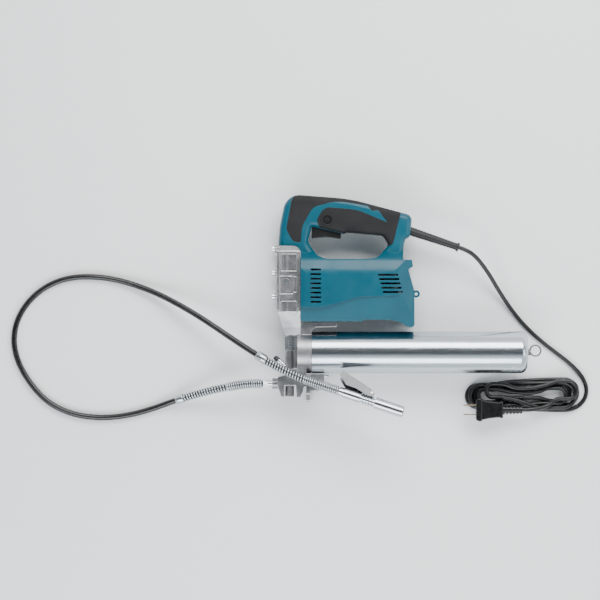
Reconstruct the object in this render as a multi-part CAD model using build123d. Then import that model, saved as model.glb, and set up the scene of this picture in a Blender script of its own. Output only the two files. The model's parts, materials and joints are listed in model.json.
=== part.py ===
"""Corded electric grease gun, lying on its side.

The model is built round the barrel's axis: X runs along the barrel away from the pump head, Y runs
from the barrel up to the D-handle, and Z runs across the tool from its mid-plane. At the end every
piece is moved so that the origin is the bottom centre of the gun's box, on the surface it lies on.
"""
from build123d import *
import math
import os

# ---------------------------------------------------------------- driving dimensions (mm)
HALF_WIDTH = 38.0          # half of the motor housing's width: the mid-plane's height when it lies
HANDLE_HALF = 19.5         # half of the D-handle's width
HANDLE_ROUND = 8.0         # rounding along the handle's edges
RIDGE_HALF = 37.0          # half-width of the motor housing just below its side ridge
BARREL_R = 28.5            # barrel tube, for the 53.5 mm grease cartridge
BARREL_WALL = 1.2
BARREL_END = 295.0         # rear end of the barrel
SPIGOT_R = 27.0            # threaded spigot of the collar, inside the barrel
GAP = 0.3                  # air between bodies that move past each other
MOTOR_Y = 90.0             # motor axis
MODULE = 1.25              # reduction gear
PINION_TEETH = 8
CRANK_TEETH = 30
CRANK_Y = MOTOR_Y - MODULE * (PINION_TEETH + CRANK_TEETH) / 2
STROKE = 24.0              # plunger stroke
PLUNGER_X = -29.8          # pump axis
PLUNGER_R = 3.2
OUTLET_Y = -42.6           # outlet port axis
ADAPTER_TIP = -66.0        # hose adapter's free end: the gun's front-most point
LOOP_END = 314.4           # pull loop's far side: the gun's rear-most point
HANDLE_TOP = 214.6         # highest point of the handle
FOOT_END = -66.8           # far edge of the stand foot
FOOT_NECK = 22.0           # half-width of the foot where the hose guard lies over it
HOSE_R = 4.1
GUARD_R = 7.0              # close-wound part of the spring guards
LEAD_R = 3.0
COUPLER_LENGTH = 92.0
COUPLER_ROLL = -22.0       # the lever leans down towards the barrel
FLOOR = -HALF_WIDTH

ORIGIN_X = (ADAPTER_TIP + LOOP_END) / 2
ORIGIN_Y = (FOOT_END + HANDLE_TOP) / 2
TO_ROW = Pos(-ORIGIN_X, -ORIGIN_Y, HALF_WIDTH)

PARTS = {}


# ---------------------------------------------------------------- small helpers
def bar_x(r, x0, x1, y=0.0, z=0.0):
    return Pos((x0 + x1) / 2, y, z) * Rot(0, 90, 0) * Cylinder(r, abs(x1 - x0))


def bar_y(r, y0, y1, x=0.0, z=0.0):
    return Pos(x, (y0 + y1) / 2, z) * Rot(90, 0, 0) * Cylinder(r, abs(y1 - y0))


def bar_z(r, z0, z1, x=0.0, y=0.0):
    return Pos(x, y, (z0 + z1) / 2) * Cylinder(r, abs(z1 - z0))


def block(x0, x1, y0, y1, z0, z1):
    size = (x1 - x0, y1 - y0, z1 - z0)
    return Pos((x0 + x1) / 2, (y0 + y1) / 2, (z0 + z1) / 2) * Box(*size)


def facing_up(edges):
    """Face inside closed edges, with its normal along +Z."""
    face = make_face(edges).face()
    return face if face.normal_at().Z > 0 else -face


def outline(corners):
    """Closed face from (x, y, corner radius) triples."""
    points = [(x, y) for x, y, r in corners]
    return facing_up(FilletPolyline(*points, radius=[r for x, y, r in corners], close=True))


def plate(corners, z0, z1):
    return extrude(Pos(0, 0, z0) * outline(corners), z1 - z0)


def along_x(face, x0, x1):
    """Prism along X from a face drawn as (y, z)."""
    return extrude(Plane(origin=(x0, 0, 0), x_dir=(0, 1, 0), z_dir=(1, 0, 0)) * face, x1 - x0)


def along_y(face, y0, y1):
    """Prism along Y from a face drawn as (x, z)."""
    return extrude(Plane(origin=(0, y1, 0), x_dir=(1, 0, 0), z_dir=(0, -1, 0)) * face, y1 - y0)


def turned_x(profile):
    """Solid of revolution about X from (x, radius) points of a closed profile."""
    return revolve(make_face(Polyline(*profile, close=True)), Axis.X)


def hexagon_x(across, x0, x1, y=0.0, z=0.0):
    shape = extrude(RegularPolygon(across / math.sqrt(3), 6), x1 - x0)
    return Pos(x0, y, z) * Rot(0, 90, 0) * shape


def coil_spring(radius, wire, pitch, length):
    """Helical spring along +Z from the origin."""
    path = Helix(pitch, length, radius)
    section = Plane(origin=path @ 0, z_dir=path % 0) * Circle(wire / 2)
    return sweep(section, path=path, is_frenet=True)


def save(name, shape):
    PARTS[name] = shape


# ---------------------------------------------------------------- housing
def housing_outline():
    """Side view of the clamshell with its D-handle."""
    return outline([
        (-14.8, 42.5, 2), (-14.8, 145.5, 11), (-45.2, 145.5, 1.5), (-43.3, 172, 60),
        (-34.3, 216.0, 22), (52, 209.6, 240), (137.2, 186.9, 8), (134.6, 158.2, 5),
        (127.0, 153.6, 8), (124.3, 132, 30), (124.6, 126.2, 1), (136.2, 126.2, 1),
        (137.9, 117, 1), (131.3, 113.2, 2), (139.8, 84, 12), (139.8, 34.2, 4.5),
        (132.2, 34.2, 4), (119, 42.4, 14), (104, 44.6, 20), (70, 44.6, 0.4), (70, 42.5, 0.4)])


def hand_opening():
    return outline([
        (0.2, 171.6, 2), (44, 161.8, 2), (48, 163.8, 1.5), (97.5, 159.4, 7),
        (105.4, 146.8, 5), (89.5, 127.4, 24), (10.5, 127.4, 24), (-5.2, 150.5, 12)])


def half_widths():
    """Section across the motor housing, as (y, z) corners of its upper side."""
    return [(28, 25, 0.5), (44, 31.5, 10), (58, HALF_WIDTH, 14), (112, HALF_WIDTH, 30),
            (127, 32.5, 9), (139, 16, 10), (148, 4, 0.5)]


def plan_widths():
    """Plan view limits, as (x, z) corners of the upper side."""
    return [(-60, 30, 0.5), (-15.5, 36.6, 4), (-6, HALF_WIDTH + 0.6, 18), (112, HALF_WIDTH + 0.6, 48),
            (136, 30, 20), (150, 19, 0.5)]


def belly_widths():
    """Section below the ridge that runs along each side: it slopes in towards the barrel."""
    return [(18, 22, 0.5), (46, 28.5, 8), (84, RIDGE_HALF, 0.5)]


def ridge_outline():
    """Everything below the ridge, which rises towards the rear."""
    return outline([(-70, 20, 0.5), (-70, 61.6, 0.5), (14, 61.8, 60), (38, 68.0, 30), (64, 76.2, 40),
                    (122, 77.6, 12), (131, 81, 8), (170, 81, 0.5), (170, 20, 0.5)])


def both_sides(corners):
    return corners + [(a, -b, r) for a, b, r in reversed(corners)]


def handle_bar(inset):
    """The D-handle as a bar of rounded section, running down into the motor housing."""
    side = outline([
        (-47.7, 110.6, 1), (-43.3, 172, 60), (-34.3, 216.0, 22), (52, 209.6, 240), (137.2, 186.9, 9),
        (134.6, 158.2, 5), (127.0, 153.6, 9), (124.3, 132, 30), (125, 110, 1)]) - hand_opening()
    if inset:
        side = offset(side, -inset)
    half = HANDLE_HALF - inset
    bar = extrude(Pos(0, 0, -half) * side, 2 * half)
    for ring in (False, True):
        edges = [e for e in bar.edges() if abs(abs(e.center().Z) - half) < 0.02
                 and (-7.5 < e.center().X < 107.5 and 125 < e.center().Y < 174) == ring]
        bar = fillet(edges, HANDLE_ROUND - inset)
    return bar


def housing_body(inset=0.0):
    """Outer shape of both halves together; inset shrinks it for the depth of the soft grip."""
    side = housing_outline() - hand_opening()
    if inset:
        side = offset(side, -inset)
    deep = HALF_WIDTH + 1
    body = extrude(Pos(0, 0, -deep) * side, 2 * deep)
    across = [(y, z - inset, r) for y, z, r in half_widths()]
    plan = [(x, z - inset, r) for x, z, r in plan_widths()]
    limits = along_x(outline(both_sides(across)), -60, 160) & along_y(outline(both_sides(plan)), 20, 240)
    shape = body & (limits + handle_bar(inset))
    below = extrude(Pos(0, 0, -deep) * ridge_outline(), 2 * deep)
    belly = along_x(outline(both_sides([(y, z - inset, r) for y, z, r in belly_widths()])), -80, 180)
    return shape - (below - belly)


def soft_field():
    """Edge of the black overmoulding, one wrapping field."""
    return outline([
        (-11.5, 216, 1), (-26, 213.5, 10), (-34.6, 168, 12), (-25, 150.3, 8), (-14.6, 150.3, 2),
        (-13, 172, 30), (2, 198, 16), (34, 206.5, 60), (76, 200.2, 4), (82, 193, 3),
        (91, 193.6, 5), (103.2, 177, 0.4), (62, 194.6, 80), (17, 198.2, 14), (6.6, 180, 8),
        (11, 169.9, 4), (47, 161.6, 1), (60, 155, 1), (99, 150, 1), (105.4, 144.8, 2),
        (111, 148, 5), (121.8, 192, 1), (60, 220, 1)])


def motor_space():
    room = bar_x(33.2, -15, 122, MOTOR_Y)
    room += bar_x(12, 121, 130, MOTOR_Y)
    wires = block(104, 114, 108, 170, -6, 6) + block(50, 114, 168, 186, -8, 8)
    switch = block(-3, 52, 164, 204, -10, 10)
    trigger_slot = block(-0.3, 43.6, 154, 204, -9, 9)
    return room + wires + switch + trigger_slot


FRONT_SLOTS = 8
REAR_SLOTS = 5


def vent_slots():
    """Air slots, cut right through both side walls."""
    slots = []
    for i in range(FRONT_SLOTS):
        slots.append(Pos(5.6, 112.8 - 6.25 * i, 0) * extrude(SlotOverall(14.3, 2.5), 90, both=True))
    for i in range(REAR_SLOTS):
        place = Pos(103.8 + 1.55 * i, 105.7 - 5.85 * i, 0)
        slots.append(place * extrude(SlotOverall(27.4, 2.7), 90, both=True))
    return slots


SCREWS = [(-6, 52), (62, 50.5), (131, 48), (119, 121), (-38.6, 154), (127.5, 180.5), (64, 197.4)]


def build_housing():
    outer = housing_body()
    eye = bar_z(5.0, -2.5, 2.5, 143.1, 79.8) + block(134, 143.1, 76.6, 83, -2.5, 2.5)
    eye -= bar_z(2.1, -5, 5, 143.1, 79.8)
    core = housing_body(inset=1.6)
    field = extrude(Pos(0, 0, -HALF_WIDTH) * soft_field(), 2 * HALF_WIDTH)
    grip = (outer & field) - core
    shell = (outer - grip) + eye
    spaces = motor_space()
    lock_hole = bar_z(5.8, 0, 30, 21.7, 181)
    guard_seat = bar_x(6.15, -10, 3) + bar_x(7.5, -9.1, -5.9) + block(-16, -9, -5.6, 5.6, -5.6, 5.6)
    cuts = spaces + lock_hole + guard_place() * guard_seat
    for x, y in SCREWS:
        cuts += bar_z(1.75, -30, 15, x, y) + bar_z(4.2, -60, screw_seat(x, y) + 0.05, x, y)
    shell -= cuts
    grip -= cuts
    for slot in vent_slots():
        shell -= slot
    low = block(-80, 160, 0, 240, -60, 0)
    high = block(-80, 160, 0, 240, 0, 60)
    ring = bar_z(8.4, HANDLE_HALF - 1, HANDLE_HALF + 0.8, 21.7, 181)
    grip_high = ((grip & high) + ring) - lock_hole
    save("housing_right", shell & high)
    save("housing_left", shell & low)
    save("grip_right", grip_high)
    save("grip_left", grip & low)


def screw_seat(x, y):
    """Height of a screw head's underside: deep enough to clear the surface the tool lies on."""
    return -12.0 if y > 150 else -22.0


def build_screws():
    screws = []
    for x, y in SCREWS:
        seat = screw_seat(x, y)
        screws.append(bar_z(1.7, seat, 14, x, y) + bar_z(3.9, seat - 2.6, seat, x, y))
    save("housing_screws", Compound(screws))


# ---------------------------------------------------------------- handle controls
def build_trigger():
    finger = plate([(0.1, 155.9, 1.2), (20, 157.6, 60), (39.8, 155.1, 1.5), (40.6, 163, 1),
                    (43, 178, 1), (1.2, 178, 1)], -8.5, 8.5)
    save("trigger", fillet(finger.edges().filter_by(Axis.Z, reverse=True).group_by(Axis.Y)[0], 0.8))
    spring = Pos(14, 178.5, 0) * Rot(-90, 0, 0) * coil_spring(3.0, 0.7, 2.6, 8.0)
    save("trigger_spring", spring)
    module = block(4, 48, 187.6, 203, -9, 9) + block(24, 30, 184.4, 187.6, -3, 3)
    save("switch_module", module)
    save("lock_button", bar_z(5.4, 11.4, HANDLE_HALF - 1.2, 21.7, 181))


GUARD_TILT = -18.6         # the lead leaves the handle pointing a little down the tool
GUARD_LENGTH = 70.5
RIB_DEPTH = 0.45
GUARD_START = (134.6, 165.8)


def guard_place():
    return Pos(GUARD_START[0], GUARD_START[1], 0) * Rot(0, 0, GUARD_TILT)


def build_cord_guard():
    profile = [(-9, 0), (-9, 7.4), (-6, 7.4), (-6, 6.1), (0, 6.1)]
    x = 4.0
    while x < GUARD_LENGTH - 6:
        r = 6.1 - 1.3 * x / GUARD_LENGTH
        profile += [(x, r), (x, r - RIB_DEPTH), (x + 1.2, r - RIB_DEPTH), (x + 1.2, r)]
        x += 4.4
    profile += [(GUARD_LENGTH - 3, 4.8), (GUARD_LENGTH - 3, 6.4), (GUARD_LENGTH, 6.0), (GUARD_LENGTH, 0)]
    save("cord_guard", guard_place() * turned_x(profile))
    clamp = block(-15.4, -9.4, -5.5, 5.5, -5.5, 5.5) - bar_x(3.05, -20, 0)
    save("cord_clamp", guard_place() * clamp)


# ---------------------------------------------------------------- gear head
def build_gear_case():
    side = outline([(-43.5, 145.5, 1), (-14.8, 145.5, 11), (-14.8, 23.5, 1), (-35.8, 23.5, 2),
                    (-47.2, 57.6, 2), (-43.5, 57.6, 0.3)])
    case = extrude(Pos(0, 0, -29) * side, 58)
    across = outline(both_sides([(20, 14, 0.5), (35, 18, 10), (56, 29, 12), (138, 29, 4), (146.5, 22, 0.5)]))
    case &= along_x(across, -60, 0)
    room = outline(both_sides([(41, 18.2, 0.5), (54, 24.5, 0.5), (141, 24.5, 0.5)]))
    case -= along_x(room, -43.6, -19.0) + block(-38, -22, 30, 41.5, -9, 9)
    case -= bar_y(PLUNGER_R + 0.1, 20, 32, PLUNGER_X)
    case -= bar_x(11.0, -20, -10, MOTOR_Y) + bar_x(28.2, -19.6, 0)
    for side_z in (-1, 1):
        z0, z1 = sorted((side_z * 27.0, side_z * 40))
        pockets = block(-41.6, -20.5, 111, 134, z0, z1) + block(-43, -25.5, 79.8, 104, z0, z1)
        pockets += block(-24.0, -20.8, 82, 103, z0, z1) + block(-41.6, -20.5, 55.5, 69.8, z0, z1)
        case -= pockets
        case += bar_y(7.0, 111, 134, -34.6, side_z * 20.6) & block(-43, -20, 110, 135, z0, z1)
        case += bar_y(7.0, 55.5, 69.8, -34.6, side_z * 20.6) & block(-43, -20, 55, 70, z0, z1)
    for x in (-19.2, -17.0):
        groove = block(x, x + 0.7, 60, 137, -40, 40) - block(-60, 0, 60, 137, -28.4, 28.4)
        case -= groove
    save("gear_case", case)
    cover = plate([(-47.2, 145.5, 2), (-43.5, 145.5, 0.3), (-43.5, 57.6, 0.3), (-47.2, 57.6, 2)], -29, 29)
    cover &= along_x(across, -60, 0)
    screws = []
    for y, tall in ((141.0, 4.6), (108.5, 4.2), (76.3, 4.6)):
        for z in (-23.5, 23.5):
            cover += bar_x(tall, -50.2, -47, y, z)
            cover -= bar_x(2.05, -52, -40, y, z)
            screws.append(bar_x(2.0, -50.2, -43.6, y, z) + bar_x(tall - 0.4, -53.8, -50.2, y, z))
    save("front_cover", cover)
    for z in (27.0, -30.0):
        screws.append(bar_z(4.0, z, z + 3.0, -34.6, 97))
    save("case_screws", Compound(screws))


# ---------------------------------------------------------------- pump head
def build_pump_head():
    head = bar_x(28.0, -19.3, 0) + bar_x(SPIGOT_R, -1, 14)
    head += bar_y(6.3, -36, 2.6, PLUNGER_X)
    head += block(-30, -18, -27, 2.6, -4.0, 4.0) + block(-22.9, -18, -27, 22.6, -9, 9)
    head += plate([(-34.5, -30, 3), (-47.6, -34.5, 4), (-45.5, -47, 2), (-41.4, -60.6, 1.5),
                   (-37.3, -60.6, 1.5), (-36.6, -45, 0.5), (-21.4, -45, 0.5), (-20.2, -61.2, 1.5),
                   (-15.8, -61.2, 1.5), (-11.6, -53, 3), (-10.8, -47, 2), (-7.2, -46, 1), (-7.2, -22, 1),
                   (-25, -22, 1)], -12.5, 12.5)
    head += bar_x(7.2, -53.8, -44, OUTLET_Y)
    head += plate([(-14.4, 22, 1), (-14.4, 33, 1), (-8.5, 40.9, 3), (34.4, 40.9, 1), (34.4, 35, 1),
                   (5, 34.4, 3), (-0.6, 29, 3), (-0.6, 22, 1)], -14, 14)
    head += block(-8.9, -7.2, -29.6, -10, -5, 5)
    head -= bar_x(SPIGOT_R - 3, -12.8, 20)
    head -= bar_x(3.2, -31, -12, -8)
    head -= bar_y(PLUNGER_R + 0.08, -25, 10, PLUNGER_X)
    head -= bar_y(4.6, -70, -24, PLUNGER_X)
    head -= bar_x(2.5, -60, -28, OUTLET_Y) + bar_x(4.2, -60, -46.4, OUTLET_Y)
    bleeder = bleeder_place() * bar_x(2.6, -6, 12)
    head -= bleeder
    save("pump_head", head)
    foot = outline([
        (-28.2, FOOT_NECK - 4, 1), (-47, FOOT_NECK - 1, 8), (-55, HALF_WIDTH, 3),
        (FOOT_END, HALF_WIDTH, 3), (FOOT_END, -HALF_WIDTH, 3), (-55, -HALF_WIDTH, 3),
        (-47, 1 - FOOT_NECK, 8), (-28.2, 4 - FOOT_NECK, 1)])
    save("stand_foot", along_x(foot, -7.2, -1.8))


def bleeder_place():
    return Pos(-34.6, -20.6, 0) * Rot(0, 0, 138)


def build_pump_fittings():
    nut = Pos(PLUNGER_X, 3.0, 0) * Rot(-90, 0, 0) * extrude(RegularPolygon(13.5 / math.sqrt(3), 6, rotation=30), 19)
    save("packing_nut", nut - bar_y(PLUNGER_R + 0.08, 0, 30, PLUNGER_X))
    plug = bar_y(4.5, -46, -31.8, PLUNGER_X) + bar_y(6.1, -60.2, -46, PLUNGER_X)
    save("valve_plug", plug - bar_y(3.4, -42.4, -30, PLUNGER_X) - bar_x(2.2, -40, PLUNGER_X, OUTLET_Y))
    save("check_ball", Pos(PLUNGER_X, -26.35, 0) * Sphere(4.0))
    spring = Pos(PLUNGER_X, -31.9, 0) * Rot(90, 0, 0) * coil_spring(2.4, 0.7, 2.2, 9.4)
    save("check_spring", spring)
    save("air_bleeder", bleeder_place() * (bar_x(2.55, 0.8, 5.6) + bar_x(3.4, 5.5, 14.5)))
    save("bleeder_cap", bleeder_place() * turned_x([(14.5, 0), (14.5, 3.6), (20.4, 3.2), (21.8, 1.8), (21.8, 0)]))
    loader = block(-1.8, 17.4, -51.8, -29.4, -9, 9) + block(-1.8, 10, -53.4, -51.8, -6, 6)
    save("loader_block", loader)
    save("loader_nipple", turned_x([(17.4, 0), (17.4, 2.4), (19.2, 2.4), (19.2, 1.6), (21.6, 1.6), (22.6, 2.0),
                                    (23.6, 1.0), (23.6, 0)]).moved(Pos(0, -32.4, 0)))
    adapter = bar_x(4.1, -53.6, -46.8) + bar_x(3.2, -55.2, -53.6) + bar_x(4.3, -59.3, -55.2)
    adapter += hexagon_x(10.0, ADAPTER_TIP, -59.3)
    save("hose_adapter", (adapter - bar_x(2.0, -70, -40)).moved(Pos(0, OUTLET_Y, 0)))


# ---------------------------------------------------------------- motor and crank
def gear_wheel(teeth, x0, x1):
    """Spur gear about X with straight-flanked teeth, one tooth pointing along +Z."""
    pitch_r = MODULE * teeth / 2
    step = 2 * math.pi / teeth
    points = []
    for k in range(teeth):
        for r, share in ((pitch_r - 1.25 * MODULE, -0.29), (pitch_r + MODULE, -0.11),
                         (pitch_r + MODULE, 0.11), (pitch_r - 1.25 * MODULE, 0.29)):
            a = step * (k + share)
            points.append((r * math.sin(a), r * math.cos(a)))
    return along_x(facing_up(Polyline(*points, close=True)), x0, x1)


def build_crank():
    pinion = Rot(90, 0, 0) * gear_wheel(PINION_TEETH, -25, -19.4)
    save("pinion", pinion.moved(Pos(0, MOTOR_Y, 0)))
    wheel = Rot(90 + 180 / CRANK_TEETH, 0, 0) * gear_wheel(CRANK_TEETH, -24.6, -19.6)
    wheel -= bar_x(4.06, -30, -10)
    wheel += bar_x(3.0, -26.4, -24.6, 0, STROKE / 2)
    save("crank_gear", wheel.moved(Pos(0, CRANK_Y, 0)))
    save("crank_axle", bar_x(4.0, -26.2, -19.0, CRANK_Y))
    yoke = block(-32.6, -27.0, CRANK_Y - 8.5, CRANK_Y + 8.5, -19, 19)
    yoke -= block(-33, -26, CRANK_Y - 4.2, CRANK_Y + 4.2, -15.4, 15.4)
    yoke += bar_y(2.8, CRANK_Y + 8.4, 122, PLUNGER_X)
    save("yoke", yoke)
    save("plunger", bar_y(PLUNGER_R, -8.5, CRANK_Y - 8.5, PLUNGER_X))


def build_motor():
    shaft = bar_x(4.0, -19.4, 121, MOTOR_Y)
    save("armature_shaft", shaft)
    core = bar_x(16.4, 28, 76, MOTOR_Y)
    for k in range(12):
        slot = Rot(360 / 12 * k, 0, 0) * block(27, 77, 11.5, 17, -1.2, 1.2)
        core -= slot.moved(Pos(0, MOTOR_Y, 0))
    windings = bar_x(13.5, 21, 28, MOTOR_Y) + bar_x(13.5, 76, 83, MOTOR_Y)
    save("armature_core", core + windings - bar_x(4.0, 10, 90, MOTOR_Y))
    commutator = bar_x(11.5, 85, 100, MOTOR_Y)
    for k in range(24):
        slot = Rot(15 * k, 0, 0) * block(86.5, 101, 10.6, 12, -0.25, 0.25)
        commutator -= slot.moved(Pos(0, MOTOR_Y, 0))
    save("commutator", commutator - bar_x(4.0, 80, 105, MOTOR_Y))
    fan = bar_x(29, 0, 1.6, MOTOR_Y) + bar_x(9, 0, 10, MOTOR_Y)
    for k in range(11):
        blade = Rot(360 / 11 * k, 0, 0) * block(1.5, 9.5, 12, 28, -0.7, 0.7)
        fan += blade.moved(Pos(0, MOTOR_Y, 0))
    save("cooling_fan", fan - bar_x(4.0, -2, 12, MOTOR_Y))
    for name, x, outer in (("front_bearing", -18.8, 11.0), ("rear_bearing", 111.0, 11.9)):
        ring = bar_x(outer - 0.05, x, x + 7, MOTOR_Y) - bar_x(4.05, x - 1, x + 8, MOTOR_Y)
        save(name, ring)
    stator = bar_x(30, 26, 78, MOTOR_Y) - bar_x(17.2, 20, 80, MOTOR_Y)
    stator -= block(20, 80, MOTOR_Y - 15, MOTOR_Y + 15, -25, 25) - block(20, 80, 0, 200, -15, 15)
    save("stator", stator)
    holders = []
    brushes = []
    for side in (-1, 1):
        y0, y1 = sorted((side * 13.0, side * 30.0))
        tube = block(88, 98, y0, y1, -5, 5) - block(89.9, 96.1, y0 - 1, y1 + 1, -3.6, 3.6)
        holders.append(tube.moved(Pos(0, MOTOR_Y, 0)))
        y0, y1 = sorted((side * 11.6, side * 26.0))
        brushes.append(block(90, 96, y0, y1, -3.5, 3.5).moved(Pos(0, MOTOR_Y, 0)))
    save("brush_holders", Compound(holders))
    save("carbon_brushes", Compound(brushes))


# ---------------------------------------------------------------- barrel and follower
def build_barrel():
    inner = BARREL_R - BARREL_WALL
    tube = bar_x(BARREL_R, GAP, BARREL_END)
    tube = fillet(tube.edges().group_by(Axis.X)[-1], 9.5)
    room = bar_x(inner, -1, BARREL_END - BARREL_WALL)
    room = fillet(room.edges().group_by(Axis.X)[-1], 8.3)
    tube -= room
    tube -= bar_x(8.2, 280, 300)
    for angle in (14, 134, 254):
        dent = Pos(BARREL_END - 21, 0, 0) * Rot(angle, 0, 0) * Pos(0, BARREL_R + 1.4, 0) * Sphere(2.0)
        tube -= dent
    save("barrel", tube)
    bush = bar_x(8.15, BARREL_END - BARREL_WALL - 1.8, BARREL_END + 0.2) + bar_x(12, 286, BARREL_END - BARREL_WALL)
    save("rod_bush", bush - bar_x(4.06, 280, 300))
    gasket = bar_x(24.8, 14.1, 16.4) - bar_x(21.5, 10, 20)
    save("barrel_gasket", gasket)
    rod = bar_x(4.0, 21, 299.6)
    loop = Pos(306.0, 2.3, 0) * Torus(7.3, 1.1)
    save("follower_rod", rod + loop)
    cup = turned_x([(18, 4.0), (18, 20), (20, 26.6), (31, 26.9), (31, 25.4), (22, 24.6), (22, 4.0)])
    save("follower_cup", cup + bar_x(5.8, 18, 21))
    spring = Pos(23.2, 0, 0) * Rot(0, 90, 0) * coil_spring(18.0, 2.0, 17.4, 261.0)
    save("follower_spring", spring)


# ---------------------------------------------------------------- cords
def cord_radii(points):
    """Arc radius at each inner point: 0.45 of the shorter run over the tangent of half the turn."""
    radii = []
    for a, b, c in zip(points, points[1:], points[2:]):
        run_in, run_out = Vector(*b) - Vector(*a), Vector(*c) - Vector(*b)
        half_turn = math.radians(run_in.get_angle(run_out)) / 2
        radii.append(0.45 * min(run_in.length, run_out.length) / math.tan(half_turn))
    return radii


def tube_along(points, radius, name):
    radii = cord_radii(points)
    path = FilletPolyline(*points, radius=radii)
    solid = sweep(Plane(origin=path @ 0, z_dir=path % 0) * Circle(radius), path=path)
    expected = math.pi * radius ** 2 * path.length
    least = min(radii)
    print(f"{name}: length {path.length:.0f} mm, least radius {least:.1f} mm, "
          f"volume {solid.volume / expected:.4f} of section x length")
    return solid


def on_floor(z):
    """Height above the surface, turned into the model's Z."""
    return z + FLOOR


HOSE_IN = [(-66, -42.6, 38.0), (-79, -42.6, 38.0), (-95, -43.8, 36.8), (-111, -46.7, 33.4)]
HOSE_FREE = [
    (-111, -46.7, 33.4), (-127, -49.6, 30.0), (-144, -53.8, 23.6), (-162, -58.8, 17.0),
    (-181, -64.6, 11.0), (-200, -71.4, 6.9), (-221, -79.0, 4.7), (-245, -85.7, 4.15),
    (-270, -89.8, 4.1), (-296, -90.6, 4.15), (-322, -87.2, 4.1), (-345, -79.4, 4.15),
    (-365, -67.4, 4.1), (-381, -51.0, 4.15), (-394, -33.0, 4.1), (-404, -13.5, 4.15),
    (-409.6, 8.0, 4.1), (-409.0, 29.0, 4.15), (-402.8, 49.0, 4.1), (-391, 67.8, 4.15),
    (-375, 83.4, 4.1), (-355, 95.4, 4.15), (-332, 102.3, 4.1), (-307, 103.9, 4.15),
    (-281, 101.8, 4.1), (-255, 96.1, 5.2), (-229, 87.4, 8.4), (-203, 76.3, 13.8),
    (-178, 63.0, 20.4), (-154, 48.9, 27.4), (-130, 33.2, 34.4), (-108, 18.4, 41.2),
    (-89, 6.0, 47.4), (-74.5, -3.1, 51.9)]
HOSE_OUT = [(-74.5, -3.1, 51.9), (-60, -12.2, 56.4), (-45, -20.0, 60.2), (-28, -28.4, 64.2),
            (-10, -36.0, 67.6), (8, -42.4, 70.4), (22.5, -47.2, 72.5), (36.9, -51.9, 74.4)]


def lifted(points):
    return [(x, y, on_floor(z)) for x, y, z in points]


def build_hose():
    route_in, free, route_out = lifted(HOSE_IN), lifted(HOSE_FREE), lifted(HOSE_OUT)
    save("hose_tube", tube_along(free, HOSE_R, "hose_tube"))
    save("hose_guard_inlet", tube_along(route_in, GUARD_R, "hose_guard_inlet"))
    save("hose_guard_outlet", tube_along(route_out, GUARD_R, "hose_guard_outlet"))


LEAD = [
    (201.6, 143.3, 38.0), (212.6, 139.5, 38.0), (223.4, 132.0, 35.6), (233.6, 120.6, 30.6),
    (244.4, 105.4, 23.2), (255.6, 87.4, 14.6), (267.4, 69.2, 7.6), (280.4, 51.4, 3.9),
    (295.6, 34.0, 3.05), (312.2, 18.4, 3.1), (328.6, 5.0, 3.05), (343.8, -6.4, 3.1),
    (357.4, -17.2, 3.05), (368.6, -28.4, 3.1), (376.4, -40.4, 3.05), (379.4, -53.2, 3.1),
    (376.2, -65.6, 3.05), (367.4, -75.2, 3.1), (355.4, -80.0, 3.05), (342.4, -80.1, 3.1),
    (330, -80.1, 3.1)]


def build_lead():
    route = lifted(LEAD)
    save("lead_tube", tube_along(route, LEAD_R, "lead_tube"))
    ring = extrude(SlotOverall(148, 49) - SlotOverall(112, 13), 12.6)
    coil = Pos(289, -60.5, FLOOR) * Rot(0, 0, 2.0) * ring
    coil -= block(330, 370, -90, -76.4, FLOOR - 1, FLOOR + 6.3)
    save("lead_coil", coil)


PLUG_Z = FLOOR + 22.4      # the plug lies on top of the hank
PLUG_Y = -79.0


def build_plug():
    face = plate([(225.5, 15.6, 4), (225.5, -15.6, 4), (233.5, -15.6, 1), (233.5, 15.6, 1)], -9.6, 9.6)
    face = fillet(face.edges().filter_by(Axis.Z, reverse=True), 1.4)
    body = plate([(232, 14.2, 1), (232, -14.2, 1), (243, -11.8, 14), (257, -10.4, 10), (262.5, -12, 1.5),
                  (262.5, 12, 1.5), (257, 10.4, 10), (243, 11.8, 14)], -8.2, 8.2)
    body = face + fillet(body.edges().filter_by(Axis.Z, reverse=True), 1.6)
    relief = turned_x([(262.5, 0), (262.5, 6.8), (289, 5.4), (289, 0)])
    for k in range(5):
        relief -= bar_x(10, 265 + 4.8 * k, 266.8 + 4.8 * k) - bar_x(4.6, 260, 292)
    place = Pos(0, PLUG_Y, PLUG_Z)
    save("plug_body", place * body)
    save("plug_relief", place * relief)
    blades = [block(208.5, 225.5, y - 0.75, y + 0.75, -3.2, 3.2) for y in (-6.35, 6.35)]
    save("plug_blades", place * Compound(blades))
    z = PLUG_Z - FLOOR
    tail = lifted([(289, PLUG_Y, z), (298, PLUG_Y, z), (308, PLUG_Y + 1.4, z - 1.8),
                   (318, PLUG_Y + 3.4, z - 4.4), (326.5, PLUG_Y + 6.4, 15.7)])
    save("lead_tail", tube_along(tail, LEAD_R, "lead_tail"))


# ---------------------------------------------------------------- coupler
LEVER_PIVOT = (44.0, 9.2)


def coupler_place():
    """Frame of the coupler: x towards its mouth, y towards the lever, z along the lever's pin."""
    tail, end = Vector(*HOSE_OUT[-2]), Vector(*HOSE_OUT[-1])
    run = end - tail
    heading = math.degrees(math.atan2(run.Y, run.X))
    rise = math.degrees(math.atan2(run.Z, math.hypot(run.X, run.Y)))
    x, y, z = HOSE_OUT[-1]
    return Pos(x, y, on_floor(z)) * Rot(0, 0, heading) * Rot(0, -rise, 0) * Rot(COUPLER_ROLL, 0, 0)


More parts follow.
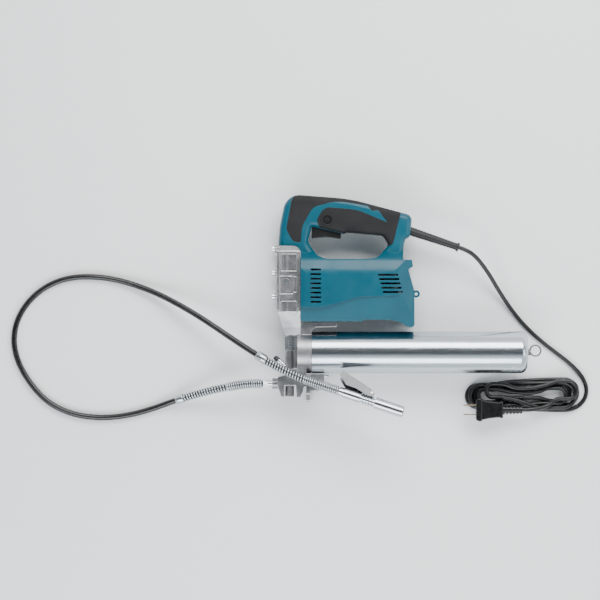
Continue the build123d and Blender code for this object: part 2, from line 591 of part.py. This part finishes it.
def build_coupler():
    place = coupler_place()
    body = turned_x([(0, 0), (0, 5.4), (1.4, 5.4), (1.4, 6.3), (7.5, 6.3), (7.5, 7.4), (29.5, 7.4),
                     (30, 7.8), (31.4, 7.8), (31.4, 5.0), (74, 5.0), (74, 6.2), (77, 6.2), (77, 0)])
    body += plate([(24, 5, 0.2), (24, 10.8, 2), (46.8, 11.6, 2), (46.8, 7.5, 0.5), (31.4, 7.5, 0.2), (30, 5, 0.2)],
                  -3.4, 3.4)
    body -= bar_z(1.6, -9, 9, *LEVER_PIVOT)
    body -= bar_x(2.0, -2, 80)
    save("coupler_body", place * body)
    sleeve = turned_x([(52, 5.2), (52, 8.2), (89, 8.0), (COUPLER_LENGTH, 7.4), (COUPLER_LENGTH, 6.9),
                       (54, 6.9), (54, 5.2)])
    save("coupler_sleeve", place * sleeve)
    jaws = bar_x(6.5, 77.2, 89.4) - bar_x(3.45, 70, 95)
    for k in range(3):
        jaws -= Rot(120 * k + 60, 0, 0) * block(77, 91, 0, 9, -0.45, 0.45)
    save("coupler_jaws", place * jaws)
    spring = Pos(32.3, 0, 0) * Rot(0, 90, 0) * coil_spring(6.3, 1.5, 4.3, 18.2)
    save("coupler_spring", place * spring)
    flank = [(-2.6, 26.6, 1), (41, 14.4, 6), (48.6, 9.6, 3), (47, 4.2, 2), (40, 3.4, 4), (21.6, 8.2, 10),
             (7.4, 8.6, 2), (-5.6, 20.4, 2)]
    lever = plate(flank, 7.9, 9.1) + plate(flank, -9.1, -7.9)
    skin = outline([(-2.6, 26.6, 0.2), (40.4, 14.5, 0.2), (40, 13.1, 0.2), (-3.0, 25.2, 0.2)])
    lever += extrude(Pos(0, 0, -9.1) * skin, 18.2)
    lever -= bar_z(1.62, -12, 12, *LEVER_PIVOT)
    save("coupler_lever", place * lever)
    save("lever_pin", place * bar_z(1.56, -9.9, 9.9, *LEVER_PIVOT))


# ---------------------------------------------------------------- whole tool
def main():
    build_housing()
    build_screws()
    build_trigger()
    build_cord_guard()
    build_gear_case()
    build_pump_head()
    build_pump_fittings()
    build_crank()
    build_motor()
    build_barrel()
    build_hose()
    build_lead()
    build_plug()
    build_coupler()
    os.makedirs("parts", exist_ok=True)
    for name, shape in PARTS.items():
        export_step(TO_ROW * shape, f"parts/{name}.step")


main()
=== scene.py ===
"""Looks of a corded electric grease gun that lies on its side with its hose and its lead.

Measures in the tables are millimetres: along the barrel, up to the handle, and above the floor.
"""
import bpy
import json
import math
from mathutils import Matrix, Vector


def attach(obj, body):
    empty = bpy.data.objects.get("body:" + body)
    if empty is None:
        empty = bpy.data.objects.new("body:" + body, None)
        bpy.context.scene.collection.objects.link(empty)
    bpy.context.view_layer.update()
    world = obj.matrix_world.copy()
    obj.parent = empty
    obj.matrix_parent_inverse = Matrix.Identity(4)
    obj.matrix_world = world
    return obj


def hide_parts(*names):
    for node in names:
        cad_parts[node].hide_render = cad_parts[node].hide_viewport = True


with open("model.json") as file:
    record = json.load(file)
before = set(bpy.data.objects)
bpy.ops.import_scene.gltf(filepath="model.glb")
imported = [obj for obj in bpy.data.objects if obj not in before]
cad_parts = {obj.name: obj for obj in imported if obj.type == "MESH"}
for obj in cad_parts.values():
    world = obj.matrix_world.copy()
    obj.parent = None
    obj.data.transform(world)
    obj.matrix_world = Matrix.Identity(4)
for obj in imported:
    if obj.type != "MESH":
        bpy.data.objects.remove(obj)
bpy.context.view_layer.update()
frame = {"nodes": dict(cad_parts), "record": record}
nodes = frame["nodes"]

ORIGIN_X = 124.2
ORIGIN_Y = 73.9
MID_HEIGHT = 38.0


def at(along, up, height):
    """Point of the row frame, in metres."""
    return Vector(((along - ORIGIN_X) / 1000, (up - ORIGIN_Y) / 1000, height / 1000))


# ---------------------------------------------------------------- camera
VIEW_WIDTH = 0.82
LENS = 200.0
SENSOR = 36.0
distance = LENS / SENSOR * VIEW_WIDTH
camera_data = bpy.data.cameras.new("camera")
camera_data.lens = LENS
camera_data.sensor_width = SENSOR
camera_data.clip_end = 20
camera = bpy.data.objects.new("camera", camera_data)
camera.location = at(-15.7, 71.5, MID_HEIGHT + 1000 * distance)
bpy.context.scene.collection.objects.link(camera)
bpy.context.scene.camera = camera


# ---------------------------------------------------------------- cord lines
def route(name, points, radius):
    """Round cord on one smooth open spline through the points' corners."""
    curve = bpy.data.curves.new(name, "CURVE")
    curve.dimensions = "3D"
    curve.resolution_u = 12
    spline = curve.splines.new("NURBS")
    spline.points.add(len(points) - 1)
    for target, point in zip(spline.points, points):
        target.co = (*at(*point), 1)
    spline.order_u = 3
    spline.use_endpoint_u = True
    curve.bevel_depth = radius / 1000
    curve.bevel_resolution = 7
    curve.use_fill_caps = True
    obj = bpy.data.objects.new(name, curve)
    bpy.context.scene.collection.objects.link(obj)
    return obj


def line_of(obj):
    """The spline's own points, as Blender works them out."""
    bare = obj.copy()
    bare.data = obj.data.copy()
    bare.data.bevel_depth = 0
    bare.data.resolution_u = 24
    bpy.context.scene.collection.objects.link(bare)
    bpy.context.view_layer.update()
    mesh = bpy.data.meshes.new_from_object(bare.evaluated_get(bpy.context.evaluated_depsgraph_get()))
    points = [v.co.copy() for v in mesh.vertices]
    bpy.data.objects.remove(bare)
    return Track(points)


class Track:
    """A line with a frame that doesn't twist, read by length in metres."""

    def __init__(self, points):
        self.points = points
        self.lengths = [0.0]
        for a, b in zip(points, points[1:]):
            self.lengths.append(self.lengths[-1] + (b - a).length)
        tangents = [(points[min(i + 1, len(points) - 1)] - points[max(i - 1, 0)]).normalized()
                    for i in range(len(points))]
        side = tangents[0].orthogonal().normalized()
        self.tangents = tangents
        self.sides = []
        for i, t in enumerate(tangents):
            if i:
                side = tangents[i - 1].rotation_difference(t) @ side
            side = (side - side.dot(t) * t).normalized()
            self.sides.append(side)

    def frame_at(self, s):
        s = min(max(s, 0.0), self.lengths[-1])
        low, high = 0, len(self.lengths) - 1
        while high - low > 1:
            middle = (low + high) // 2
            if self.lengths[middle] <= s:
                low = middle
            else:
                high = middle
        share = (s - self.lengths[low]) / max(self.lengths[high] - self.lengths[low], 1e-9)
        place = self.points[low].lerp(self.points[high], share)
        tangent = self.tangents[low].lerp(self.tangents[high], share).normalized()
        side = self.sides[low].lerp(self.sides[high], share)
        side = (side - side.dot(tangent) * tangent).normalized()
        return place, tangent, side, tangent.cross(side)

    def nearest(self, along):
        """Length at which the line is nearest to a point."""
        best = min(range(len(self.points)), key=lambda i: (self.points[i] - along).length)
        return self.lengths[best]


def mesh_object(name, verts, faces, smooth=True):
    mesh = bpy.data.meshes.new(name)
    mesh.from_pydata(verts, [], faces)
    mesh.validate()
    mesh.update()
    for polygon in mesh.polygons:
        polygon.use_smooth = smooth
    obj = bpy.data.objects.new(name, mesh)
    bpy.context.scene.collection.objects.link(obj)
    return obj


def rings_to_mesh(name, rings, closed_ends=True):
    """Skin over rings that have the same number of points."""
    count = len(rings[0])
    verts = [p for ring in rings for p in ring]
    faces = []
    for i in range(len(rings) - 1):
        for k in range(count):
            a, b = i * count + k, i * count + (k + 1) % count
            faces.append((a, b, b + count, a + count))
    if closed_ends:
        faces.append(tuple(range(count - 1, -1, -1)))
        faces.append(tuple(range((len(rings) - 1) * count, len(rings) * count)))
    return mesh_object(name, verts, faces)


def wound_wire(name, track, start, end, radius, wire, pitch, steps=18, sides=8):
    """Wire wound round a track from one length to another."""
    turns = (end - start) / pitch
    total = int(turns * steps)
    centres = []
    for i in range(total + 1):
        s = start + (end - start) * i / total
        place, tangent, side, other = track.frame_at(s)
        angle = 2 * math.pi * i / steps
        centres.append(place + (side * math.cos(angle) + other * math.sin(angle)) * radius)
    helix = Track(centres)
    rings = []
    for centre, tangent, side in zip(helix.points, helix.tangents, helix.sides):
        other = tangent.cross(side)
        rings.append([centre + (side * math.cos(a) + other * math.sin(a)) * wire / 2
                      for a in [2 * math.pi * k / sides for k in range(sides)]])
    return rings_to_mesh(name, rings)


def turned_along(name, track, profile, sides=32):
    """Skin of revolution round a track, from (length, radius) pairs."""
    rings = []
    for s, r in profile:
        place, tangent, side, other = track.frame_at(s)
        rings.append([place + (side * math.cos(a) + other * math.sin(a)) * r
                      for a in [2 * math.pi * k / sides for k in range(sides)]])
    return rings_to_mesh(name, rings)


# ---------------------------------------------------------------- hose
HOSE = [
    (-66, -42.6, 38.0), (-79, -42.6, 38.0), (-95, -43.8, 36.8),
    (-111, -46.7, 33.4), (-127, -49.6, 30.0), (-144, -53.8, 23.6), (-162, -58.8, 17.0),
    (-181, -64.6, 11.0), (-200, -71.4, 6.9), (-221, -79.0, 4.7), (-245, -85.7, 4.15),
    (-270, -89.8, 4.1), (-296, -90.6, 4.15), (-322, -87.2, 4.1), (-345, -79.4, 4.15),
    (-365, -67.4, 4.1), (-381, -51.0, 4.15), (-394, -33.0, 4.1), (-404, -13.5, 4.15),
    (-409.6, 8.0, 4.1), (-409.0, 29.0, 4.15), (-402.8, 49.0, 4.1), (-391, 67.8, 4.15),
    (-375, 83.4, 4.1), (-355, 95.4, 4.15), (-332, 102.3, 4.1), (-307, 103.9, 4.15),
    (-281, 101.8, 4.1), (-255, 96.1, 5.2), (-229, 87.4, 8.4), (-203, 76.3, 13.8),
    (-178, 63.0, 20.4), (-154, 48.9, 27.4), (-130, 33.2, 34.4), (-108, 18.4, 41.2),
    (-89, 6.0, 47.4), (-74.5, -3.1, 51.9), (-60, -12.2, 56.4), (-45, -20.0, 60.2),
    (-28, -28.4, 64.2), (-10, -36.0, 67.6), (8, -42.4, 70.4), (22.5, -47.2, 72.5),
    (36.9, -51.9, 74.4)]
HOSE_DIAMETER = 0.0082
hose = route("hose", HOSE, 1000 * HOSE_DIAMETER / 2)
hose_track = line_of(hose)
OPEN_WIRE, OPEN_RADIUS, OPEN_PITCH = 0.0021, 0.00515, 0.0039
CLOSE_WIRE, CLOSE_RADIUS, CLOSE_PITCH = 0.0021, 0.0059, 0.0030
COLLAR_BORE, COLLAR_EDGE, COLLAR_RADIUS, COLLAR_CHAMFER = 0.0045, 0.0061, 0.0066, 0.0008


def spring_guard(name, tight_at, tight_to, open_to, collar_to):
    """Spring guard: close-wound at the fitting, open-wound along the hose, then a crimped collar."""
    a, b, c, d = [hose_track.nearest(at(*p)) for p in (tight_at, tight_to, open_to, collar_to)]
    sign = 1 if b > a else -1
    tight = wound_wire(name + "_tight", hose_track, min(a, b), max(a, b),
                       CLOSE_RADIUS, CLOSE_WIRE, CLOSE_PITCH)
    loose = wound_wire(name + "_open", hose_track, min(b, c), max(b, c),
                       OPEN_RADIUS, OPEN_WIRE, OPEN_PITCH)
    step = sign * COLLAR_CHAMFER
    collar = turned_along(name + "_collar", hose_track, [
        (c - step, COLLAR_BORE), (c - step, COLLAR_EDGE), (c, COLLAR_RADIUS), (d - step, COLLAR_RADIUS),
        (d, COLLAR_EDGE), (d, COLLAR_BORE)])
    return [tight, loose, collar]


inlet_guard = spring_guard("inlet_guard", (-68, -42.6, 38), (-114, -47.2, 32.7),
                           (-176, -63.0, 12.6), (-186, -66.3, 9.8))
outlet_guard = spring_guard("outlet_guard", (36.0, -51.6, 74.3), (-8, -36.8, 68.0),
                            (-63, -10.4, 55.4), (-74.2, -3.3, 51.8))

# ---------------------------------------------------------------- lead
LEAD_START = [
    (201.6, 143.3, 38.0), (212.6, 139.5, 38.0), (223.4, 132.0, 35.6), (233.6, 120.6, 30.6),
    (244.4, 105.4, 23.2), (255.6, 87.4, 14.6), (267.4, 69.2, 7.6), (280.4, 51.4, 3.9),
    (295.6, 34.0, 3.05), (312.2, 18.4, 3.1), (328.6, 5.0, 3.05), (343.8, -6.4, 3.1),
    (357.4, -17.2, 3.05), (368.6, -28.4, 3.1), (376.4, -40.4, 3.05), (379.4, -53.2, 3.1),
    (376.2, -65.6, 3.05), (367.4, -75.2, 3.1), (355.4, -80.0, 3.05), (342.4, -80.1, 3.1),
    (330, -80.1, 3.1)]
LEAD_END = [(326.5, -72.6, 15.7), (318, -75.6, 18.0), (308, -77.6, 20.6), (298, -79, 22.4),
            (289, -79, 22.4)]
LEAD_DIAMETER = 0.006
# each turn: left fold's tip, middle, half height and level; then the same of its right fold.
# Turns of one level lie inside each other, and each level rests on the one below.
TURNS = [
    (214.0, -61.0, 15.4, 3.1, 366.0, -55.8, 18.0, 3.1),
    (224.5, -61.0, 9.3, 3.1, 355.5, -56.0, 11.6, 3.1),
    (229.5, -59.8, 9.3, 9.2, 350.0, -60.0, 10.4, 9.2),
    (218.0, -60.5, 15.6, 9.2, 362.5, -59.4, 17.2, 9.2),
    (240.0, -53.0, 9.3, 15.4, 364.5, -52.0, 12.0, 15.4)]
# each turn's upper run, and the lower run after it, a third and two thirds of the way: up and level
UPPER = [((-41.5, 3.1), (-38.8, 3.1)), ((-51.0, 3.1), (-50.0, 3.1)), ((-54.5, 9.2), (-57.0, 9.2)),
         ((-43.0, 9.2), (-43.5, 9.2)), ((-51.5, 15.4), (-47.5, 15.4))]
LOWER = [((-73.0, 3.1), (-71.0, 3.1)), ((-62.0, 9.2), (-63.5, 9.2)), ((-71.6, 9.2), (-73.6, 9.2)),
         ((-77.4, 12.8), (-65.5, 15.4))]


FOLD_STEP = 36         # degrees between the points of a fold
FOLD_POINTS = 7
FOLD_CORNER = 0.325    # how far past the middle a fold's end points stand, as a share of its radius
LEAD_IN = 12.0
RUN_SHARES = (0.33, 0.67)


def fold(middle, height, radius, level, first):
    """Half a turn, clockwise, from one run to the other, with a straight lead-in and lead-out."""
    side = 1 if first > 180 else -1
    outer = radius / math.cos(math.radians(FOLD_STEP / 2))
    straight = middle + side * (FOLD_CORNER * radius + LEAD_IN)
    points = [(straight, height - side * radius, level)]
    for step in range(FOLD_POINTS):
        a = math.radians(first + FOLD_STEP / 2 - FOLD_STEP * step)
        points.append((middle + outer * math.cos(a), height + outer * math.sin(a), level))
    points.append((straight, height + side * radius, level))
    return points


def run(start, end, places):
    """Two points between two folds."""
    return [(start + (end - start) * share, height, level)
            for share, (height, level) in zip(RUN_SHARES, places)]


def hank(turns, upper, lower):
    """Clockwise turns that come in along the lower side."""
    points = []
    for i, (left, low, half, level, right, high, span, rise) in enumerate(turns):
        start, end = left + half, right - span
        points += fold(start, low, half, level, 270)
        points += run(start, end, upper[i])
        points += fold(end, high, span, rise, 90)
        if i < len(lower):
            following = turns[i + 1]
            points += run(end, following[0] + following[2], lower[i])
    return points


lead = route("lead", LEAD_START + hank(TURNS, UPPER, LOWER) + LEAD_END, 1000 * LEAD_DIAMETER / 2)
lead_track = line_of(lead)
print("lead", round(lead_track.lengths[-1], 3), "hose", round(hose_track.lengths[-1], 3))


# ---------------------------------------------------------------- materials
def new_material(name):
    material = bpy.data.materials.new(name)
    material.use_nodes = True
    tree = material.node_tree
    shader = tree.nodes["Principled BSDF"]
    return material, tree, shader


def node(tree, kind, **values):
    made = tree.nodes.new(kind)
    for key, value in values.items():
        if key in made.inputs:
            made.inputs[key].default_value = value
        else:
            setattr(made, key, value)
    return made


def noise(tree, scale, detail=4.0, stretch=(1, 1, 1), rough=0.5):
    """Noise in the piece's own space; scale is features per metre."""
    place = node(tree, "ShaderNodeTexCoord")
    mapping = node(tree, "ShaderNodeMapping")
    mapping.inputs["Scale"].default_value = stretch
    tree.links.new(place.outputs["Object"], mapping.inputs["Vector"])
    made = node(tree, "ShaderNodeTexNoise", Scale=scale, Detail=detail, Roughness=rough)
    tree.links.new(mapping.outputs["Vector"], made.inputs["Vector"])
    return made.outputs["Fac"]


def ramp(tree, value, stops):
    """Colour ramp; stops are (position, colour or grey)."""
    made = tree.nodes.new("ShaderNodeValToRGB")
    elements = made.color_ramp.elements
    while len(elements) < len(stops):
        elements.new(0.5)
    for element, (position, colour) in zip(elements, stops):
        element.position = position
        element.color = (*colour, 1) if isinstance(colour, tuple) else (colour, colour, colour, 1)
    tree.links.new(value, made.inputs["Fac"])
    return made.outputs["Color"]


def mixed(tree, share, first, second):
    made = tree.nodes.new("ShaderNodeMix")
    made.data_type = "RGBA"
    inputs = made.inputs
    for socket, value in ((inputs["Factor"], share), (inputs["A"], first), (inputs["B"], second)):
        if isinstance(value, bpy.types.NodeSocket):
            tree.links.new(value, socket)
        elif isinstance(value, tuple):
            socket.default_value = (*value, 1)
        else:
            socket.default_value = value
    return made.outputs["Result"]


def edge_share(tree, radius, low, high):
    """Where the surface turns a sharp corner: 0 on flats, 1 on the corner."""
    bevel = node(tree, "ShaderNodeBevel", samples=6, Radius=radius)
    geometry = node(tree, "ShaderNodeNewGeometry")
    dot = node(tree, "ShaderNodeVectorMath", operation="DOT_PRODUCT")
    tree.links.new(bevel.outputs["Normal"], dot.inputs[0])
    tree.links.new(geometry.outputs["Normal"], dot.inputs[1])
    spread = node(tree, "ShaderNodeMapRange")
    spread.inputs["From Min"].default_value = high
    spread.inputs["From Max"].default_value = low
    tree.links.new(dot.outputs["Value"], spread.inputs["Value"])
    return spread.outputs["Result"]


def rounded(tree, shader, radius, height=None, strength=0.2, depth=0.0002):
    """Rounded edges under a bump."""
    bevel = node(tree, "ShaderNodeBevel", samples=6, Radius=radius)
    normal = bevel.outputs["Normal"]
    if height is not None:
        bump = node(tree, "ShaderNodeBump", Strength=strength, Distance=depth)
        tree.links.new(height, bump.inputs["Height"])
        tree.links.new(normal, bump.inputs["Normal"])
        normal = bump.outputs["Normal"]
    tree.links.new(normal, shader.inputs["Normal"])


def bumped(tree, shader, height, strength, depth):
    bump = node(tree, "ShaderNodeBump", Strength=strength, Distance=depth)
    tree.links.new(height, bump.inputs["Height"])
    tree.links.new(bump.outputs["Normal"], shader.inputs["Normal"])


def teal_nylon():
    material, tree, shader = new_material("teal_nylon")
    cloud = noise(tree, 22, 3)
    base = ramp(tree, cloud, [(0.3, (0.0, 0.068, 0.105)), (0.7, (0.0, 0.086, 0.128))])
    scuff = ramp(tree, noise(tree, 420, 6), [(0.60, 0.0), (0.74, 1.0)])
    edge = edge_share(tree, 0.0007, 0.90, 0.995)
    worn = node(tree, "ShaderNodeMath", operation="MULTIPLY")
    tree.links.new(edge, worn.inputs[0])
    tree.links.new(scuff, worn.inputs[1])
    tree.links.new(mixed(tree, worn.outputs["Value"], base, (0.02, 0.19, 0.25)),
                   shader.inputs["Base Color"])
    tree.links.new(ramp(tree, noise(tree, 60, 5), [(0.35, 0.33), (0.68, 0.44)]), shader.inputs["Roughness"])
    shader.inputs["Specular IOR Level"].default_value = 0.38
    rounded(tree, shader, 0.0008, noise(tree, 2600, 2), 0.22, 0.00006)
    return material


def soft_rubber():
    material, tree, shader = new_material("soft_rubber")
    base = ramp(tree, noise(tree, 45, 5), [(0.35, (0.006, 0.0058, 0.0065)), (0.7, (0.013, 0.0125, 0.0135))])
    dust = ramp(tree, noise(tree, 900, 8, rough=0.7), [(0.62, 0.0), (0.76, 0.35)])
    tree.links.new(mixed(tree, dust, base, (0.05, 0.048, 0.048)), shader.inputs["Base Color"])
    tree.links.new(ramp(tree, noise(tree, 90, 4), [(0.3, 0.62), (0.7, 0.8)]), shader.inputs["Roughness"])
    shader.inputs["Sheen Weight"].default_value = 0.03
    shader.inputs["Specular IOR Level"].default_value = 0.35
    rounded(tree, shader, 0.0006, noise(tree, 1700, 3), 0.45, 0.00012)
    return material


def black_plastic(name, tone, gloss, radius=0.0005, grain=0.00004):
    material, tree, shader = new_material(name)
    base = ramp(tree, noise(tree, 70, 4), [(0.3, (tone, tone, tone * 1.05)),
                                           (0.7, (tone * 1.7, tone * 1.7, tone * 1.8))])
    tree.links.new(base, shader.inputs["Base Color"])
    tree.links.new(ramp(tree, noise(tree, 160, 5), [(0.3, gloss), (0.7, gloss + 0.12)]),
                   shader.inputs["Roughness"])
    rounded(tree, shader, radius, noise(tree, 2200, 2), 0.3, grain)
    return material


def cast_alloy():
    """Die-cast aluminium: soft grain and random tone, with edges and creases lightened as a painted highlight
    that stands partly for rubbed wear.
    """
    material, tree, shader = new_material("cast_alloy")
    base = ramp(tree, noise(tree, 32, 6, rough=0.6), [(0.25, (0.15, 0.153, 0.16)), (0.55, (0.32, 0.32, 0.33)),
                                                      (0.8, (0.46, 0.46, 0.46))])
    # edges and creases mixed towards pale grey: painted highlight, with some rubbed wear
    edge = edge_share(tree, 0.0012, 0.86, 0.99)
    tree.links.new(mixed(tree, edge, base, (0.78, 0.78, 0.78)), shader.inputs["Base Color"])
    shader.inputs["Metallic"].default_value = 0.92
    tree.links.new(ramp(tree, noise(tree, 260, 6), [(0.3, 0.30), (0.75, 0.48)]), shader.inputs["Roughness"])
    rounded(tree, shader, 0.0013, noise(tree, 780, 6, rough=0.65), 0.42, 0.00022)
    return material


def zinc_plate(name, roughness, stretch, tint=(0.74, 0.78, 0.81), radius=0.0004, depth=0.00002):
    """Bright zinc: bluish film, polishing lines, faint clouds."""
    material, tree, shader = new_material(name)
    film = ramp(tree, noise(tree, 26, 5, stretch, 0.6),
                [(0.3, tuple(c * 0.9 for c in tint)), (0.52, tint), (0.75, tuple(c * 1.1 for c in tint))])
    spots = ramp(tree, noise(tree, 700, 4), [(0.70, 0.0), (0.80, 0.5)])
    tree.links.new(mixed(tree, spots, film, tuple(c * 0.66 for c in tint)), shader.inputs["Base Color"])
    shader.inputs["Metallic"].default_value = 1.0
    lines = noise(tree, 900, 3, stretch)
    tree.links.new(ramp(tree, lines, [(0.3, roughness), (0.7, roughness + 0.09)]),
                   shader.inputs["Roughness"])
    rounded(tree, shader, radius, lines, 0.16, depth)
    return material


def steel(name, low, high, roughness):
    material, tree, shader = new_material(name)
    tree.links.new(ramp(tree, noise(tree, 120, 5), [(0.3, low), (0.7, high)]), shader.inputs["Base Color"])
    shader.inputs["Metallic"].default_value = 1.0
    tree.links.new(ramp(tree, noise(tree, 600, 4), [(0.3, roughness), (0.7, roughness + 0.14)]),
                   shader.inputs["Roughness"])
    rounded(tree, shader, 0.0003, noise(tree, 1500, 3), 0.15, 0.00003)
    return material


def hose_rubber():
    """Smooth thermoplastic hose with a soft sheen."""
    material, tree, shader = new_material("hose_rubber")
    base = ramp(tree, noise(tree, 35, 4), [(0.3, (0.003, 0.003, 0.0033)), (0.7, (0.007, 0.007, 0.0075))])
    tree.links.new(base, shader.inputs["Base Color"])
    tree.links.new(ramp(tree, noise(tree, 140, 5), [(0.35, 0.24), (0.7, 0.36)]), shader.inputs["Roughness"])
    shader.inputs["Coat Weight"].default_value = 0.25
    bumped(tree, shader, noise(tree, 900, 4), 0.2, 0.00006)
    return material


def lead_vinyl():
    material, tree, shader = new_material("lead_vinyl")
    base = ramp(tree, noise(tree, 50, 4), [(0.3, (0.003, 0.003, 0.0033)), (0.7, (0.007, 0.007, 0.0075))])
    dust = ramp(tree, noise(tree, 800, 6, rough=0.7), [(0.66, 0.0), (0.80, 0.3)])
    tree.links.new(mixed(tree, dust, base, (0.05, 0.05, 0.05)), shader.inputs["Base Color"])
    tree.links.new(ramp(tree, noise(tree, 200, 5), [(0.35, 0.27), (0.7, 0.42)]), shader.inputs["Roughness"])
    bumped(tree, shader, noise(tree, 1100, 5), 0.28, 0.00008)
    return material


TEAL = teal_nylon()
RUBBER = soft_rubber()
TRIGGER = black_plastic("trigger_plastic", 0.004, 0.28)
PLUG = black_plastic("plug_vinyl", 0.003, 0.24, 0.0007)
GUARD = black_plastic("guard_rubber", 0.005, 0.40, 0.0004)
NYLON = black_plastic("pale_nylon", 0.42, 0.4)
CARBON = black_plastic("pressed_carbon", 0.03, 0.6)
ALLOY = cast_alloy()
BARREL = zinc_plate("barrel_zinc", 0.15, (0.06, 1, 1), (0.50, 0.55, 0.59), 0.0003)
ZINC = zinc_plate("bright_zinc", 0.2, (1, 1, 1))
COUPLER = zinc_plate("coupler_plate", 0.14, (0.4, 1, 1), (0.60, 0.63, 0.65))
LEVER = zinc_plate("lever_plate", 0.42, (0.4, 1, 1), (0.17, 0.175, 0.18))
WIRE = zinc_plate("spring_wire", 0.2, (1, 1, 1), (0.55, 0.59, 0.61))
STEEL = steel("turned_steel", (0.45, 0.45, 0.44), (0.62, 0.61, 0.59), 0.24)
OXIDE = steel("black_oxide", (0.04, 0.04, 0.045), (0.09, 0.09, 0.095), 0.34)
LAMINATED = steel("laminations", (0.20, 0.20, 0.21), (0.32, 0.32, 0.33), 0.42)
COPPER = steel("copper", (0.55, 0.24, 0.12), (0.75, 0.40, 0.24), 0.3)
BLADES = steel("worn_blades", (0.42, 0.30, 0.21), (0.66, 0.52, 0.38), 0.26)
HOSE_SKIN = hose_rubber()
LEAD_SKIN = lead_vinyl()

FINISHES = {
    "teal_housing": TEAL, "soft_grip": RUBBER, "trigger_black": TRIGGER, "cast_alloy": ALLOY,
    "zinc_steel": ZINC, "turned_steel": STEEL, "black_oxide": OXIDE, "guard_wire": WIRE,
    "hose_black": HOSE_SKIN, "lead_black": LEAD_SKIN, "plug_black": PLUG, "blade_brass": BLADES,
    "copper": COPPER, "laminations": LAMINATED, "carbon": CARBON, "nylon": NYLON, "gasket": RUBBER}
OWN_FINISH = {"barrel": BARREL, "cord_guard": GUARD, "coupler_body": COUPLER, "coupler_sleeve": COUPLER,
              "coupler_lever": LEVER, "follower_rod": LEVER}


def dress(obj, material):
    if not obj.data.materials:
        obj.data.materials.append(material)
    for held in obj.material_slots:
        held.material = material


for part in frame["record"]["subparts"]:
    name = part["node"]
    dress(nodes[name], OWN_FINISH.get(name, FINISHES[part["material_slot"]]))

# ---------------------------------------------------------------- cords ride with the gun; the CAD cords are hidden
dress(hose, HOSE_SKIN)
dress(lead, LEAD_SKIN)
for piece in inlet_guard + outlet_guard:
    dress(piece, WIRE)
    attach(piece, "gun")
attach(hose, "gun")
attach(lead, "gun")
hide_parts("hose_tube")
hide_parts("hose_guard_inlet")
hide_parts("hose_guard_outlet")
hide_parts("lead_tube", "lead_coil", "lead_tail")


# ---------------------------------------------------------------- stage and light
def stage_floor():
    size = 4.0
    floor = mesh_object("floor", [(-size, -size, 0), (size, -size, 0), (size, size, 0), (-size, size, 0)],
                        [(0, 1, 2, 3)], smooth=False)
    material, tree, shader = new_material("paper_floor")
    tree.links.new(ramp(tree, noise(tree, 3, 3), [(0.3, (0.95, 0.955, 0.96)), (0.7, (0.97, 0.97, 0.97))]),
                   shader.inputs["Base Color"])
    shader.inputs["Roughness"].default_value = 0.75
    dress(floor, material)


def area_light(name, place, target, size, power, colour=(1, 1, 1)):
    data = bpy.data.lights.new(name, "AREA")
    data.shape = "RECTANGLE"
    data.size, data.size_y = size
    data.energy = power
    data.color = colour
    obj = bpy.data.objects.new(name, data)
    obj.location = place
    aim = Vector(target) - Vector(place)
    obj.rotation_mode = "QUATERNION"
    obj.rotation_quaternion = aim.to_track_quat("-Z", "Y")
    bpy.context.scene.collection.objects.link(obj)


def studio_world():
    """Soft bright studio with a dark card overhead, leaning to the handle's side."""
    world = bpy.data.worlds.new("studio")
    bpy.context.scene.world = world
    world.use_nodes = True
    tree = world.node_tree
    place = node(tree, "ShaderNodeTexCoord")
    parts = node(tree, "ShaderNodeSeparateXYZ")
    tree.links.new(place.outputs["Generated"], parts.inputs["Vector"])
    angle = node(tree, "ShaderNodeMath", operation="ARCTAN2")
    tree.links.new(parts.outputs["Y"], angle.inputs[0])
    tree.links.new(parts.outputs["Z"], angle.inputs[1])
    spread = node(tree, "ShaderNodeMapRange")
    spread.inputs["From Min"].default_value = -math.pi / 2
    spread.inputs["From Max"].default_value = math.pi / 2
    tree.links.new(angle.outputs["Value"], spread.inputs["Value"])
    sky = ramp(tree, spread.outputs["Result"], [
        (0.0, (0.86, 0.90, 0.92)), (0.22, (0.74, 0.81, 0.85)), (0.34, (0.84, 0.89, 0.92)),
        (0.41, (0.42, 0.46, 0.49)), (0.45, (0.07, 0.075, 0.08)), (0.64, (0.11, 0.115, 0.12)),
        (0.74, (0.50, 0.53, 0.55)), (0.82, (1.0, 1.0, 1.0)), (1.0, (0.97, 0.98, 0.99))])
    tree.links.new(sky, tree.nodes["Background"].inputs["Color"])
    tree.nodes["Background"].inputs["Strength"].default_value = 1.45


stage_floor()
studio_world()
area_light("key", (0.25, 1.05, 1.35), (0.0, 0.0, 0.03), (1.5, 0.8), 34)
area_light("fill", (-0.35, -1.15, 1.15), (0.0, -0.05, 0.03), (1.5, 0.7), 20, (0.93, 0.97, 1.0))
area_light("rear", (1.25, -0.1, 1.0), (0.1, 0.0, 0.03), (0.7, 0.9), 6)
